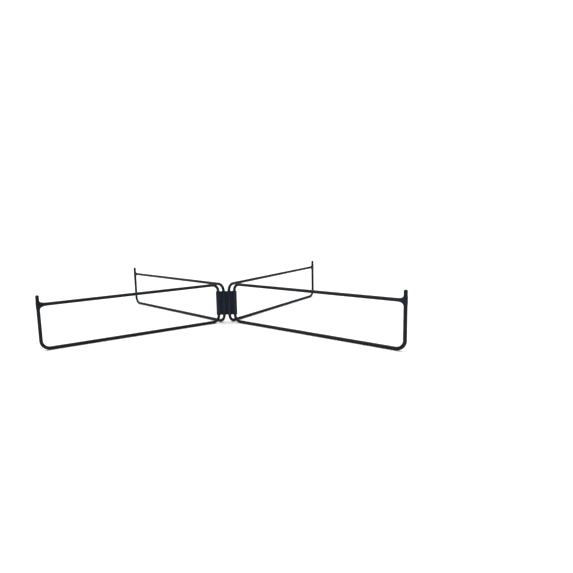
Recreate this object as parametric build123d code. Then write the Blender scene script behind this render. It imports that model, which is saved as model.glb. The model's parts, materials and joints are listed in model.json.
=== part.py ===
"""Collapsible wire sign stand.

Four flat rectangular frames of bent round steel wire stand on edge and spread
from a central hub of four upright tubes. Each frame turns about its own inner
upright, which runs through one tube. The outer upright of each frame carries
on above the top bar as a round-nosed peg that the sign drops over.

Frame: +Z up, +Y towards the rear legs, +X to the right. The origin is on the
surface that the stand rests on, under the middle of the hub.
"""
from build123d import *
import os

# Driving dimensions, in millimetres and degrees
WIRE_D = 5.0             # round wire of the leg frames, coating included
FRAME_HEIGHT = 64.0      # bottom bar to top bar, between wire centres
FRAME_LENGTH = 280.0     # hinge axis to outer upright, between wire centres
INNER_BEND_R = 11.0      # bends above and below the hub, to the wire's centre
OUTER_BEND_R = 12.0      # bottom outer corner, to the wire's centre
PEG_RISE = 14.0          # peg's tip above the centre of the top bar
PEG_NOSE_R = 2.0         # rounding of the peg's tip

TUBE_OD = 8.0
TUBE_ID = 5.6
TUBE_LENGTH = 41.0
TUBE_PITCH = 9.3         # between neighbouring hinge axes
TUBE_CHAMFER = 0.35

SEAM_LENGTH = 40.0       # welded length of the valley between two tubes
SEAM_R = 1.8             # round of the weld bead in the valley
SEAM_OFFSET = 2.0        # bead's centre, forward and back of the tube row

WELD_PENETRATION = 0.3   # how deep the corner weld bites into the upright
WELD_COVER = 0.25        # how far its thin collar stands out from the upright
WELD_ABOVE = 5.0         # collar's reach above the centre of the top bar
WELD_BELOW = 7.0         # collar's reach below the centre of the top bar
FILLET_HALF_WIDTH = 2.8  # a little more than the wire's, on each side of the frame
# Weld fillet under and over the top bar: distance in from the upright's centre,
# half of the fillet's height there, and how far its middle lies below the bar's
FILLET_STATIONS = ((0.0, 5.8, 1.0), (4.0, 3.7, 0.3), (8.0, 2.6, 0.0))

# Each leg's hinge axis, counted in tube pitches from the hub's middle, and the
# direction that the open leg points in, anticlockwise from +X
LEGS = {
    "front_left": (-1.5, 207.5),
    "rear_left": (-0.5, 135.0),
    "rear_right": (0.5, 48.5),
    "front_right": (1.5, -40.5),
}

# Heights that follow from them
WIRE_R = WIRE_D / 2
BOTTOM_BAR_Z = WIRE_R
TOP_BAR_Z = BOTTOM_BAR_Z + FRAME_HEIGHT
PEG_TIP_Z = TOP_BAR_Z + PEG_RISE
HUB_MIDDLE_Z = BOTTOM_BAR_Z + FRAME_HEIGHT / 2


def upright_cylinder(radius, low_z, high_z, x=0.0, y=0.0):
    """A vertical round bar between two heights."""
    return Pos(x, y, (low_z + high_z) / 2) * Cylinder(radius, high_z - low_z)


def bent_wire():
    """The wire from the peg's tip, round the bottom and the hub, to the start of the top bar."""
    top_bar_start = 2 * INNER_BEND_R
    corners = [
        (FRAME_LENGTH, 0, PEG_TIP_Z),
        (FRAME_LENGTH, 0, BOTTOM_BAR_Z),
        (0, 0, BOTTOM_BAR_Z),
        (0, 0, TOP_BAR_Z),
        (top_bar_start, 0, TOP_BAR_Z),
    ]
    path = FilletPolyline(*corners, radius=[OUTER_BEND_R, INNER_BEND_R, INNER_BEND_R])
    section = Plane(origin=corners[0], z_dir=(0, 0, -1)) * Circle(WIRE_R)
    wire = sweep(section, path=path)
    top_bar_length = FRAME_LENGTH - top_bar_start
    top_bar_middle = (top_bar_start + top_bar_length / 2, 0, TOP_BAR_Z)
    return wire + Pos(*top_bar_middle) * Rot(0, 90, 0) * Cylinder(WIRE_R, top_bar_length)


def leg_frame():
    """One leg's closed wire frame in the XZ plane, hinge axis on Z, with a round-nosed peg."""
    frame = bent_wire()
    tip_edges = frame.edges().filter_by(GeomType.CIRCLE).group_by(Axis.Z)[-1]
    frame = fillet(tip_edges, PEG_NOSE_R)
    groove_low = TOP_BAR_Z - WELD_BELOW
    groove_high = TOP_BAR_Z + WELD_ABOVE
    sleeve = upright_cylinder(2 * WIRE_R, groove_low, groove_high, x=FRAME_LENGTH)
    core = upright_cylinder(WIRE_R - WELD_PENETRATION, groove_low, groove_high, x=FRAME_LENGTH)
    top_bar_gap = Pos(FRAME_LENGTH - 2 * WIRE_R, 0, TOP_BAR_Z) * Box(2 * WIRE_R, WIRE_D, WIRE_D)
    return frame - (sleeve - core - top_bar_gap)


def corner_weld(frame):
    """Weld metal where the top bar's end meets the upright: a thin collar and a fillet."""
    collar = upright_cylinder(
        WIRE_R + WELD_COVER, TOP_BAR_Z - WELD_BELOW, TOP_BAR_Z + WELD_ABOVE, x=FRAME_LENGTH
    )
    sections = []
    for inward, half_height, drop in FILLET_STATIONS:
        place = Plane(
            origin=(FRAME_LENGTH - inward, 0, TOP_BAR_Z - drop), x_dir=(0, 1, 0), z_dir=(-1, 0, 0)
        )
        sections.append(place * Ellipse(FILLET_HALF_WIDTH, half_height))
    return collar + loft(sections) - frame


def hub_tube():
    """One tube of the hub, standing on the hinge axis."""
    half = TUBE_LENGTH / 2
    wall = upright_cylinder(TUBE_OD / 2, -half, half)
    tube = wall - upright_cylinder(TUBE_ID / 2, -half, half)
    return chamfer(tube.edges().filter_by(GeomType.CIRCLE), TUBE_CHAMFER)


def seam_weld():
    """The weld beads in the valley between two tubes, one in front and one behind."""
    half = SEAM_LENGTH / 2
    left_tube = upright_cylinder(TUBE_OD / 2, -half, half, x=-TUBE_PITCH / 2)
    right_tube = upright_cylinder(TUBE_OD / 2, -half, half, x=TUBE_PITCH / 2)
    beads = [upright_cylinder(SEAM_R, -half, half, y=side * SEAM_OFFSET) for side in (-1, 1)]
    return [bead - left_tube - right_tube for bead in beads]


def save(shape, node):
    """Write one node's solids to parts/NODE.step."""
    solids = shape.solids()
    group = solids[0] if len(solids) == 1 else Compound(children=list(solids))
    group.label = node
    export_step(group, os.path.join("parts", node + ".step"))


def main():
    os.makedirs("parts", exist_ok=True)
    frame = leg_frame()
    weld = corner_weld(frame)
    tube = hub_tube()
    seams = seam_weld()
    for leg, (pitches, direction) in LEGS.items():
        axis_x = pitches * TUBE_PITCH
        stand = Pos(axis_x, 0, 0) * Rot(0, 0, direction)
        save(stand * frame, leg + "_frame")
        save(stand * weld, leg + "_corner_weld")
        save(Pos(axis_x, 0, HUB_MIDDLE_Z) * tube, "hub_tube_" + leg)
    for pitches, side in ((-1, "left"), (0, "middle"), (1, "right")):
        place = Pos(pitches * TUBE_PITCH, 0, HUB_MIDDLE_Z)
        save(Compound(children=[place * bead for bead in seams]), "hub_weld_" + side)


main()
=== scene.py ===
"""Looks of the collapsible wire sign stand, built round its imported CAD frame.

Lengths written with MM are millimetres; everything else is in metres. A leg is
modelled once, lying along +X with its hinge axis on Z, and each leg gets its
own copy turned into place. The hub's parts are modelled where they stand.
"""
import json
import math
import random

import bmesh
import bpy
from mathutils import Matrix, Vector, noise


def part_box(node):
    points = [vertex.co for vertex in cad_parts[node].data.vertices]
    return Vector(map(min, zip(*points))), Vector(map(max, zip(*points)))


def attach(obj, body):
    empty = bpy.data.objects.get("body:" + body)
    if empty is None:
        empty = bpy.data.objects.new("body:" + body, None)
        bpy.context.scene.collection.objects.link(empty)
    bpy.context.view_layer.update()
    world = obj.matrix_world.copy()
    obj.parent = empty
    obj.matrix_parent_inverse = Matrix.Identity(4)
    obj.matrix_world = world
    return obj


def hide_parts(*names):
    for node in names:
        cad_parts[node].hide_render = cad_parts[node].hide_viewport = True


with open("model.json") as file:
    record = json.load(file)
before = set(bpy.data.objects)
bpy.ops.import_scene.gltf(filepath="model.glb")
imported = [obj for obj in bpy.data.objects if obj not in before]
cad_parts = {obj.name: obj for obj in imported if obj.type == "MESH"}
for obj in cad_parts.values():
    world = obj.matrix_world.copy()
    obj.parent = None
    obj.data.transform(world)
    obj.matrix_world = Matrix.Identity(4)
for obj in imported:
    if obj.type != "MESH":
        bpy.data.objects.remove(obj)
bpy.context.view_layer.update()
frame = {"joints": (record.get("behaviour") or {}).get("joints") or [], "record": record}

MM = 0.001
LEGS = ("front_left", "rear_left", "rear_right", "front_right")

# Sizes of the bent wire
WIRE_SIDES = 32
STRAIGHT_STEP = 12 * MM      # length of one straight stretch of wire mesh
BEND_STEPS = 16
FRAME_HEIGHT = 64 * MM       # bottom bar to top bar, between centres
INNER_BEND = 11 * MM         # bends by the hub, to the wire's centre
OUTER_BEND = 12 * MM         # bottom outer corner, to the wire's centre
PEG_NOSE = 2.0 * MM          # rounding of the peg's tip
NOSE_RINGS = 7

# Reach of each corner weld from the wires' centres, along the top bar, up the peg and
# down the upright. They were laid by hand, so they differ
WELD_RUNS = {
    "front_left": (11.0 * MM, 5.2 * MM, 7.2 * MM),
    "rear_left": (8.0 * MM, 5.0 * MM, 6.6 * MM),
    "rear_right": (8.4 * MM, 5.2 * MM, 6.8 * MM),
    "front_right": (9.0 * MM, 6.4 * MM, 7.2 * MM),
}
WELD_HALF_WIDTH = 2.75 * MM  # across the frame
WELD_SIDES = 40
FILLET_RINGS = 14
COLLAR_RINGS = 12
COLLAR_FULLNESS = 0.7        # under 1, the collar swells early and stays full
WELD_VOXEL = 0.22 * MM
RIPPLE_PITCH = 1.1 * MM      # spacing of the ripples that a weld pool leaves
RIPPLE_ROUND = 4.5 * MM      # distance from the corner at which they have that spacing
RIPPLE_WANDER = 0.385 * MM
RIPPLE_HEIGHT = 0.07 * MM
WELD_SWELL = 0.12 * MM       # unevenness of the metal itself

# Sizes of the hub
TUBE_SIDES = 64
TUBE_WALL = 1.2 * MM
TUBE_ROUND = 0.35 * MM
SEAM_SIDES = 20
SEAM_PROUD = 0.12 * MM       # how far a bead stands out past its nominal round
SEAM_START = 0.8             # its thickness where it starts and stops, next to its full one
SEAM_RIPPLE = 1.2 * MM
SEAM_RINGS_PER_RIPPLE = 5
SEAM_TAPER = 1.5             # ripples that it takes to reach its full thickness

# Light of the studio
FLOOR_LIGHT = 3.5            # what the floor gets from above, W per square metre
ROOM_LIGHT = 0.24            # what the room sends back from every side
SOFTBOX_SIDE = 1.2
AIM = Vector((0, 0, 0.03))   # a point in the hub, which the softboxes face
WHITE = (1, 1, 1, 1)

record = frame["record"]
hinge_axis = {joint["child"]: Vector(joint["pos_m"]) for joint in frame["joints"]}
mounts = {mount["name"]: mount for mount in record["mounts"]}
WIRE_R = mounts["front_left_peg"]["dims"]["r_mm"] * MM
BOTTOM_Z = WIRE_R
TOP_Z = BOTTOM_Z + FRAME_HEIGHT
TIP_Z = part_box("front_left_frame")[1].z


def leg_reach(leg):
    """Vector from a leg's hinge axis to its peg, level."""
    peg = Vector(mounts[leg + "_peg"]["pos_m"])
    reach = peg - hinge_axis[leg + "_leg"]
    reach.z = 0
    return reach


FRAME_LENGTH = leg_reach("front_left").length


# ---------------------------------------------------------------- modelling helpers

def deselect():
    """Nothing selected, and no mesh open for editing."""
    if bpy.context.object and bpy.context.object.mode != "OBJECT":
        bpy.ops.object.mode_set(mode="OBJECT")
    bpy.ops.object.select_all(action="DESELECT")


def edit(selecting="VERT"):
    """Open the active mesh for editing with all of it selected."""
    bpy.ops.object.mode_set(mode="EDIT")
    bpy.ops.mesh.select_mode(type=selecting)
    bpy.ops.mesh.select_all(action="SELECT")


def pick(wanted, kind="faces"):
    """Select the faces, edges or vertices of the open mesh that pass a test."""
    bpy.ops.mesh.select_all(action="DESELECT")
    mesh = bmesh.from_edit_mesh(bpy.context.object.data)
    mesh.normal_update()
    for element in getattr(mesh, kind):
        if wanted(element):
            element.select_set(True)
    mesh.select_flush_mode()
    bmesh.update_edit_mesh(bpy.context.object.data)


def ring(sides, radius, place, turn=(0, 0, 0)):
    """Start a round section: an open circle, selected and ready to extrude."""
    deselect()
    bpy.ops.mesh.primitive_circle_add(
        vertices=sides, radius=radius, location=place, rotation=turn
    )
    bpy.ops.object.transform_apply(location=True, rotation=True, scale=True)
    edit()


def draw_out(move, steps=1):
    """Extrude the selected section by a vector, in equal steps."""
    step = Vector(move) / steps
    for _ in range(steps):
        bpy.ops.mesh.extrude_region_move(TRANSFORM_OT_translate={"value": step})


def grow(factors, centre):
    """Scale the selected section about a point."""
    bpy.ops.transform.resize(value=factors, center_override=centre)


def close_ends():
    """Cap every open end of the mesh and turn all its faces outwards."""
    bpy.ops.mesh.select_all(action="DESELECT")
    bpy.ops.mesh.select_mode(type="EDGE")
    bpy.ops.mesh.select_non_manifold(extend=False, use_wire=False, use_multi_face=False,
                                     use_non_contiguous=False, use_verts=False)
    bpy.ops.mesh.edge_face_add()
    bpy.ops.mesh.select_all(action="SELECT")
    bpy.ops.mesh.normals_make_consistent(inside=False)


def done(name, smooth_angle=40):
    """Leave edit mode, name the piece and smooth its shading."""
    bpy.ops.object.mode_set(mode="OBJECT")
    piece = bpy.context.object
    piece.name = name
    piece.data.name = name
    bpy.ops.object.shade_smooth_by_angle(angle=math.radians(smooth_angle))
    return piece


def apply_modifier(piece, kind, **settings):
    """Add a modifier with its settings and apply it at once."""
    modifier = piece.modifiers.new(kind.title(), kind)
    for key, value in settings.items():
        setattr(modifier, key, value)
    bpy.context.view_layer.objects.active = piece
    bpy.ops.object.modifier_apply(modifier=modifier.name)


def join(name, *pieces):
    """Make one object of several."""
    deselect()
    for piece in pieces:
        piece.select_set(True)
    bpy.context.view_layer.objects.active = pieces[0]
    bpy.ops.object.join()
    pieces[0].name = name
    return pieces[0]


def copy_of(piece, name, place):
    """A copy with its own mesh, moved by a matrix that ends up in the mesh."""
    twin = piece.copy()
    twin.data = piece.data.copy()
    twin.data.transform(place)
    twin.name = name
    twin.data.name = name
    bpy.context.scene.collection.objects.link(twin)
    return twin


def discard(piece):
    bpy.data.objects.remove(piece)


# ---------------------------------------------------------------- materials

def linear(hex_colour):
    """sRGB hex to the linear colour that shaders take."""
    parts = [int(hex_colour[i:i + 2], 16) / 255 for i in (1, 3, 5)]
    return [c / 12.92 if c <= 0.04045 else ((c + 0.055) / 1.055) ** 2.4 for c in parts] + [1.0]


def add_node(tree, kind, settings=None, inputs=None):
    """Add a shader node, set its properties, and fill or link its inputs."""
    node = tree.nodes.new(kind)
    for key, value in (settings or {}).items():
        setattr(node, key, value)
    for key, value in (inputs or {}).items():
        if isinstance(value, bpy.types.NodeSocket):
            tree.links.new(value, node.inputs[key])
        else:
            node.inputs[key].default_value = value
    return node


def per_metre(size):
    """Noise scale whose features are about this size."""
    return 1 / size


def ramp(tree, value, stops):
    """A colour ramp of hex or grey stops over 0 to 1."""
    node = add_node(tree, "ShaderNodeValToRGB", inputs={"Fac": value})
    elements = node.color_ramp.elements
    while len(elements) < len(stops):
        elements.new(0.5)
    for element, (position, colour) in zip(elements, stops):
        element.position = position
        element.color = linear(colour) if isinstance(colour, str) else (colour, colour, colour, 1)
    return node.outputs["Color"]


def powder_coat(name, deep, pale, orange_peel, sheen):
    """Satin black polyester powder, sprayed dry and melted on in an oven.

    To the eye it is a deep black with a slight blue cast, never quite even: a
    shallow orange peel breaks up its highlights, and a finer grain dulls them.
    """
    material = bpy.data.materials.new(name)
    material.use_nodes = True
    tree = material.node_tree
    tree.nodes.clear()
    place = add_node(tree, "ShaderNodeTexCoord").outputs["Object"]
    cloud = add_node(tree, "ShaderNodeTexNoise", inputs={
        "Vector": place, "Scale": per_metre(30 * MM), "Detail": 3.0, "Roughness": 0.6})
    colour = ramp(tree, cloud.outputs["Fac"], [(0.3, deep), (0.7, pale)])
    # orange peel is about 2 mm from crest to crest in a thick coat
    peel = add_node(tree, "ShaderNodeTexNoise", inputs={
        "Vector": place, "Scale": per_metre(2.2 * MM), "Detail": 1.0, "Roughness": 0.4})
    grain = add_node(tree, "ShaderNodeTexNoise", inputs={
        "Vector": place, "Scale": per_metre(0.35 * MM), "Detail": 2.0, "Roughness": 0.6})
    gloss = ramp(tree, grain.outputs["Fac"], [(0.25, sheen - 0.05), (0.75, sheen + 0.07)])
    waves = add_node(tree, "ShaderNodeBump", inputs={
        "Height": peel.outputs["Fac"], "Distance": orange_peel, "Strength": 1.0})
    relief = add_node(tree, "ShaderNodeBump", inputs={
        "Height": grain.outputs["Fac"], "Distance": 0.01 * MM, "Strength": 1.0,
        "Normal": waves.outputs["Normal"]})
    shader = add_node(tree, "ShaderNodeBsdfPrincipled", inputs={
        "Base Color": colour, "Roughness": gloss, "IOR": 1.5,
        "Specular IOR Level": 0.15, "Normal": relief.outputs["Normal"]})
    add_node(tree, "ShaderNodeOutputMaterial", inputs={"Surface": shader.outputs["BSDF"]})
    return material


def dress(piece, material):
    """Give a piece its one material."""
    piece.data.materials.clear()
    piece.data.materials.append(material)


# ---------------------------------------------------------------- the bent wire

def bend(centre, angle):
    """Bend the wire's open end round a centre, in the plane of the frame."""
    bpy.ops.mesh.spin(steps=BEND_STEPS, angle=angle, center=centre, axis=(0, 1, 0))


def straight(move):
    """Run the wire's open end straight."""
    draw_out(move, max(2, round(Vector(move).length / STRAIGHT_STEP)))


def model_wire():
    """One leg's wire, bent from the top bar's welded end round to the peg's tip."""
    quarter = math.pi / 2
    welded_end = FRAME_LENGTH - WIRE_R / 2
    ring(WIRE_SIDES, WIRE_R, (welded_end, 0, TOP_Z), (0, quarter, 0))
    straight((INNER_BEND - welded_end, 0, 0))
    bend((INNER_BEND, 0, TOP_Z - INNER_BEND), quarter)
    straight((0, 0, 2 * INNER_BEND - FRAME_HEIGHT))
    bend((INNER_BEND, 0, BOTTOM_Z + INNER_BEND), quarter)
    straight((FRAME_LENGTH - INNER_BEND - OUTER_BEND, 0, 0))
    bend((FRAME_LENGTH - OUTER_BEND, 0, BOTTOM_Z + OUTER_BEND), quarter)
    straight((0, 0, TIP_Z - PEG_NOSE - BOTTOM_Z - OUTER_BEND))
    nose(WIRE_R, PEG_NOSE, (FRAME_LENGTH, 0, TIP_Z - PEG_NOSE))
    close_ends()
    return done("leg_wire", 30)


def nose(radius, rounding, start):
    """Round the open end of an upright wire over to its flat tip."""
    flat = radius - rounding
    last_radius, last_height = radius, 0.0
    for step in range(1, NOSE_RINGS + 1):
        turn = step / NOSE_RINGS * math.pi / 2
        ring_radius = flat + rounding * math.cos(turn)
        height = rounding * math.sin(turn)
        draw_out((0, 0, height - last_height))
        factor = ring_radius / last_radius
        grow((factor, factor, 1), (start[0], start[1], start[2] + height))
        last_radius, last_height = ring_radius, height


# ---------------------------------------------------------------- the corner weld

def fillet_section(share, above, below):
    """Reach up, reach down and half width of the weld fillet, 0 at its toe to 1 at the upright."""
    flare = 1 - math.sqrt(max(0.0, 1 - share * share))
    up = WIRE_R + (above - WIRE_R) * flare
    down = WIRE_R + (below - WIRE_R) * flare
    side = WIRE_R + (WELD_HALF_WIDTH - WIRE_R) * min(1.0, 2 * share)
    return up, down, side


def weld_fillet(reach, above, below):
    """The fillet that widens from the top bar to the upright, drawn out ring by ring."""
    toe = FRAME_LENGTH - reach
    advance = (FRAME_LENGTH - WIRE_R - toe) / FILLET_RINGS
    ring(WELD_SIDES, WIRE_R, (toe, 0, TOP_Z), (0, math.pi / 2, 0))
    last_height, last_side, last_middle = WIRE_R, WIRE_R, 0.0
    for step in range(1, FILLET_RINGS + 1):
        up, down, side = fillet_section(step / FILLET_RINGS, above, below)
        height = (up + down) / 2
        middle = (up - down) / 2
        draw_out((advance, 0, middle - last_middle))
        centre = (toe + advance * step, 0, TOP_Z + middle)
        grow((1, side / last_side, height / last_height), centre)
        last_height, last_side, last_middle = height, side, middle
    draw_out((WIRE_R / 2, 0, 0))
    close_ends()
    return done("weld_fillet")


def weld_collar(above, below):
    """The thin run of weld round the upright, swelling between its two toes."""
    low = TOP_Z - below
    rise = (above + below) / COLLAR_RINGS
    ring(WELD_SIDES, WIRE_R, (FRAME_LENGTH, 0, low))
    last_radius = WIRE_R
    for step in range(1, COLLAR_RINGS + 1):
        swell = max(0.0, math.sin(math.pi * step / COLLAR_RINGS)) ** COLLAR_FULLNESS
        radius = WIRE_R + (WELD_HALF_WIDTH - WIRE_R) * swell
        draw_out((0, 0, rise))
        factor = radius / last_radius
        grow((factor, factor, 1), (FRAME_LENGTH, 0, low + rise * step))
        last_radius = radius
    close_ends()
    return done("weld_collar")


def weld_relief(place, drift):
    """How far a weld's surface stands out at a place: fanned ripples on an uneven swell."""
    out = place - Vector((FRAME_LENGTH - WIRE_R, 0, TOP_Z))
    around = math.atan2(out.y, out.z) * RIPPLE_ROUND
    wander = RIPPLE_WANDER * noise.noise((place + drift) / (3 * MM))
    ripple = math.cos(2 * math.pi * (around + wander) / RIPPLE_PITCH)
    fade = min(1.0, max(0.0, out.length - 2 * MM) / (3 * MM))
    swell = WELD_SWELL * noise.noise((place + drift) / (2.5 * MM))
    return RIPPLE_HEIGHT * ripple * fade + swell


def model_weld(leg, seed):
    """A corner weld: fillet and collar fused, smoothed, and marked by the pool's ripples."""
    reach, above, below = WELD_RUNS[leg]
    weld = join("corner_weld", weld_fillet(reach, above, below), weld_collar(above, below))
    apply_modifier(weld, "REMESH", mode="VOXEL", voxel_size=WELD_VOXEL)
    apply_modifier(weld, "SMOOTH", factor=0.5, iterations=4)
    spread = random.Random(seed)
    drift = Vector((spread.random(), spread.random(), spread.random())) * 50 * MM
    mesh = bmesh.new()
    mesh.from_mesh(weld.data)
    mesh.normal_update()
    for vertex in mesh.verts:
        vertex.co += vertex.normal * weld_relief(vertex.co, drift)
    mesh.to_mesh(weld.data)
    mesh.free()
    weld.data.polygons.foreach_set("use_smooth", [True] * len(weld.data.polygons))
    return weld


# ---------------------------------------------------------------- the hub

def model_tube(node):
    """A hub tube: a bar with both ends inset, the bore opened and the rims rounded."""
    low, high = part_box(node)
    centre = (low + high) / 2
    outer = (high.x - low.x) / 2
    deselect()
    bpy.ops.mesh.primitive_cylinder_add(
        vertices=TUBE_SIDES, radius=outer, depth=high.z - low.z, location=centre
    )
    bpy.ops.object.transform_apply(location=True, rotation=True, scale=True)
    edit("FACE")
    pick(lambda face: abs(face.normal.z) > 0.9)
    bpy.ops.mesh.inset(thickness=TUBE_WALL, depth=0)
    bpy.ops.mesh.delete(type="ONLY_FACE")
    bpy.ops.mesh.select_mode(type="EDGE")
    pick(lambda edge: edge.is_boundary, "edges")
    bpy.ops.mesh.bridge_edge_loops()
    pick(lambda edge: abs(edge.verts[0].co.z - edge.verts[1].co.z) < 1e-6
         and len({round(face.normal.z) for face in edge.link_faces}) > 1, "edges")
    bpy.ops.mesh.bevel(offset=TUBE_ROUND, segments=4, affect="EDGES")
    bpy.ops.mesh.select_all(action="SELECT")
    bpy.ops.mesh.normals_make_consistent(inside=False)
    return done(node + "_coated", 35)


def model_seam(node, front):
    """One weld bead up the valley between two tubes, drawn ring by ring over its ripples."""
    low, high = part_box(node)
    radius = (high.x - low.x) / 2 + SEAM_PROUD
    x = (low.x + high.x) / 2
    y = low.y + radius if front else high.y - radius
    rings = round((high.z - low.z) / SEAM_RIPPLE) * SEAM_RINGS_PER_RIPPLE
    rise = (high.z - low.z) / rings
    ring(SEAM_SIDES, radius * SEAM_START, (x, y, low.z))
    last = SEAM_START
    for step in range(1, rings + 1):
        to_end = min(step, rings - step) / (SEAM_TAPER * SEAM_RINGS_PER_RIPPLE)
        taper = SEAM_START + (1 - SEAM_START) * math.sqrt(1 - (1 - min(1.0, to_end)) ** 2)
        phase = (step % SEAM_RINGS_PER_RIPPLE) / SEAM_RINGS_PER_RIPPLE
        ripple = 0.97 + 0.05 * math.sqrt(math.sin(math.pi * (0.12 + 0.8 * phase)))
        size = taper * ripple
        draw_out((0, 0, rise))
        grow((size / last, size / last, 1), (x, y, low.z + rise * step))
        last = size
    close_ends()
    return done(node + ("_front" if front else "_back"), 60)


# ---------------------------------------------------------------- put it together

wire_coat = powder_coat("black_powder_coat_on_wire", "#080f15", "#0e1820", 0.05 * MM, 0.38)
# the hub tubes carry the same black powder as the wire, but their colour is painted lighter: a
# painted sheen standing in for the highlights their wider round catches
tube_coat_with_painted_sheen = powder_coat("black_powder_coat_on_tube", "#101a27", "#162333", 0.07 * MM, 0.38)
weld_coat = powder_coat("black_powder_coat_on_weld", "#0c141e", "#121d29", 0.06 * MM, 0.42)

leg_wire = model_wire()
for number, leg in enumerate(LEGS):
    reach = leg_reach(leg)
    axis = hinge_axis[leg + "_leg"]
    place = Matrix.Translation((axis.x, axis.y, 0)) @ Matrix.Rotation(
        math.atan2(reach.y, reach.x), 4, "Z"
    )
    wire = copy_of(leg_wire, leg + "_wire", place)
    dress(wire, wire_coat)
    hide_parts(leg + "_frame")
    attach(wire, leg + "_leg")
    pattern = model_weld(leg, number)
    weld = copy_of(pattern, leg + "_weld", place)
    discard(pattern)
    dress(weld, weld_coat)
    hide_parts(leg + "_corner_weld")
    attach(weld, leg + "_leg")

    tube = model_tube("hub_tube_" + leg)
    dress(tube, tube_coat_with_painted_sheen)
    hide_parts("hub_tube_" + leg)
    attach(tube, "hub")
discard(leg_wire)

for side in ("left", "middle", "right"):
    node = "hub_weld_" + side
    seam = join(node + "_beads", model_seam(node, True), model_seam(node, False))
    dress(seam, weld_coat)
    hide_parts(node)
    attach(seam, "hub")


# ---------------------------------------------------------------- studio

def model_floor():
    """A pale, matt tabletop far wider than the stand."""
    deselect()
    bpy.ops.mesh.primitive_plane_add(size=40, location=(0, 0, -0.05 * MM))
    bpy.ops.object.transform_apply(location=True, rotation=True, scale=True)
    floor = bpy.context.object
    floor.name = "floor"
    material = bpy.data.materials.new("matt_white_paper")
    material.use_nodes = True
    shader = material.node_tree.nodes["Principled BSDF"]
    shader.inputs["Base Color"].default_value = linear("#fdfdfd")
    shader.inputs["Roughness"].default_value = 0.9
    shader.inputs["Specular IOR Level"].default_value = 0.1
    floor.data.materials.append(material)


def softbox(name, place, power):
    """A soft square light aimed at the stand."""
    light = bpy.data.lights.new(name, "AREA")
    light.shape = "SQUARE"
    light.size = SOFTBOX_SIDE
    light.energy = power
    lamp = bpy.data.objects.new(name, light)
    bpy.context.scene.collection.objects.link(lamp)
    lamp.location = place
    lamp.rotation_euler = (AIM - lamp.location).to_track_quat("-Z", "Y").to_euler()


def overhead_light():
    """A broad light from overhead, equally strong everywhere, so the whole floor is white."""
    light = bpy.data.lights.new("overhead_light", "SUN")
    light.energy = FLOOR_LIGHT
    light.angle = math.radians(100)
    lamp = bpy.data.objects.new("overhead_light", light)
    bpy.context.scene.collection.objects.link(lamp)
    lamp.rotation_euler = (math.radians(-12), math.radians(-8), 0)


def room():
    """White where the camera looks past the floor, and a dim even glow on the stand."""
    world = bpy.data.worlds.new("studio_room")
    bpy.context.scene.world = world
    world.use_nodes = True
    tree = world.node_tree
    tree.nodes.clear()
    backdrop = add_node(tree, "ShaderNodeBackground", inputs={"Color": WHITE, "Strength": 1.0})
    glow = add_node(tree, "ShaderNodeBackground", inputs={"Color": WHITE, "Strength": ROOM_LIGHT})
    to_camera = add_node(tree, "ShaderNodeLightPath").outputs["Is Camera Ray"]
    both = add_node(tree, "ShaderNodeMixShader", inputs={
        0: to_camera, 1: glow.outputs[0], 2: backdrop.outputs[0]})
    add_node(tree, "ShaderNodeOutputWorld", inputs={"Surface": both.outputs[0]})


def studio():
    model_floor()
    overhead_light()
    softbox("left_softbox", (-1.8, -1.2, 1.2), 7)
    softbox("right_softbox", (1.8, -0.6, 1.4), 5.5)
    room()
    bpy.context.scene.view_settings.view_transform = "Standard"


def camera():
    """Eye a little above the stand and in front of it, framed with room on the right."""
    lens = bpy.data.cameras.new("camera")
    eye = bpy.data.objects.new("camera", lens)
    bpy.context.scene.collection.objects.link(eye)
    lens.sensor_width = 36
    lens.lens = 25.23
    lens.shift_x = 0.106
    lens.shift_y = -0.028
    lens.clip_start = 0.01
    eye.location = (0.0104, -0.6787, 0.1717)
    down, left, roll = math.radians(6.82), math.radians(0.83), math.radians(-2.09)
    turn = (
        Matrix.Rotation(left, 3, "Z")
        @ Matrix.Rotation(math.pi / 2 - down, 3, "X")
        @ Matrix.Rotation(roll, 3, "Z")
    )
    eye.rotation_euler = turn.to_euler()
    bpy.context.scene.camera = eye


studio()
camera()
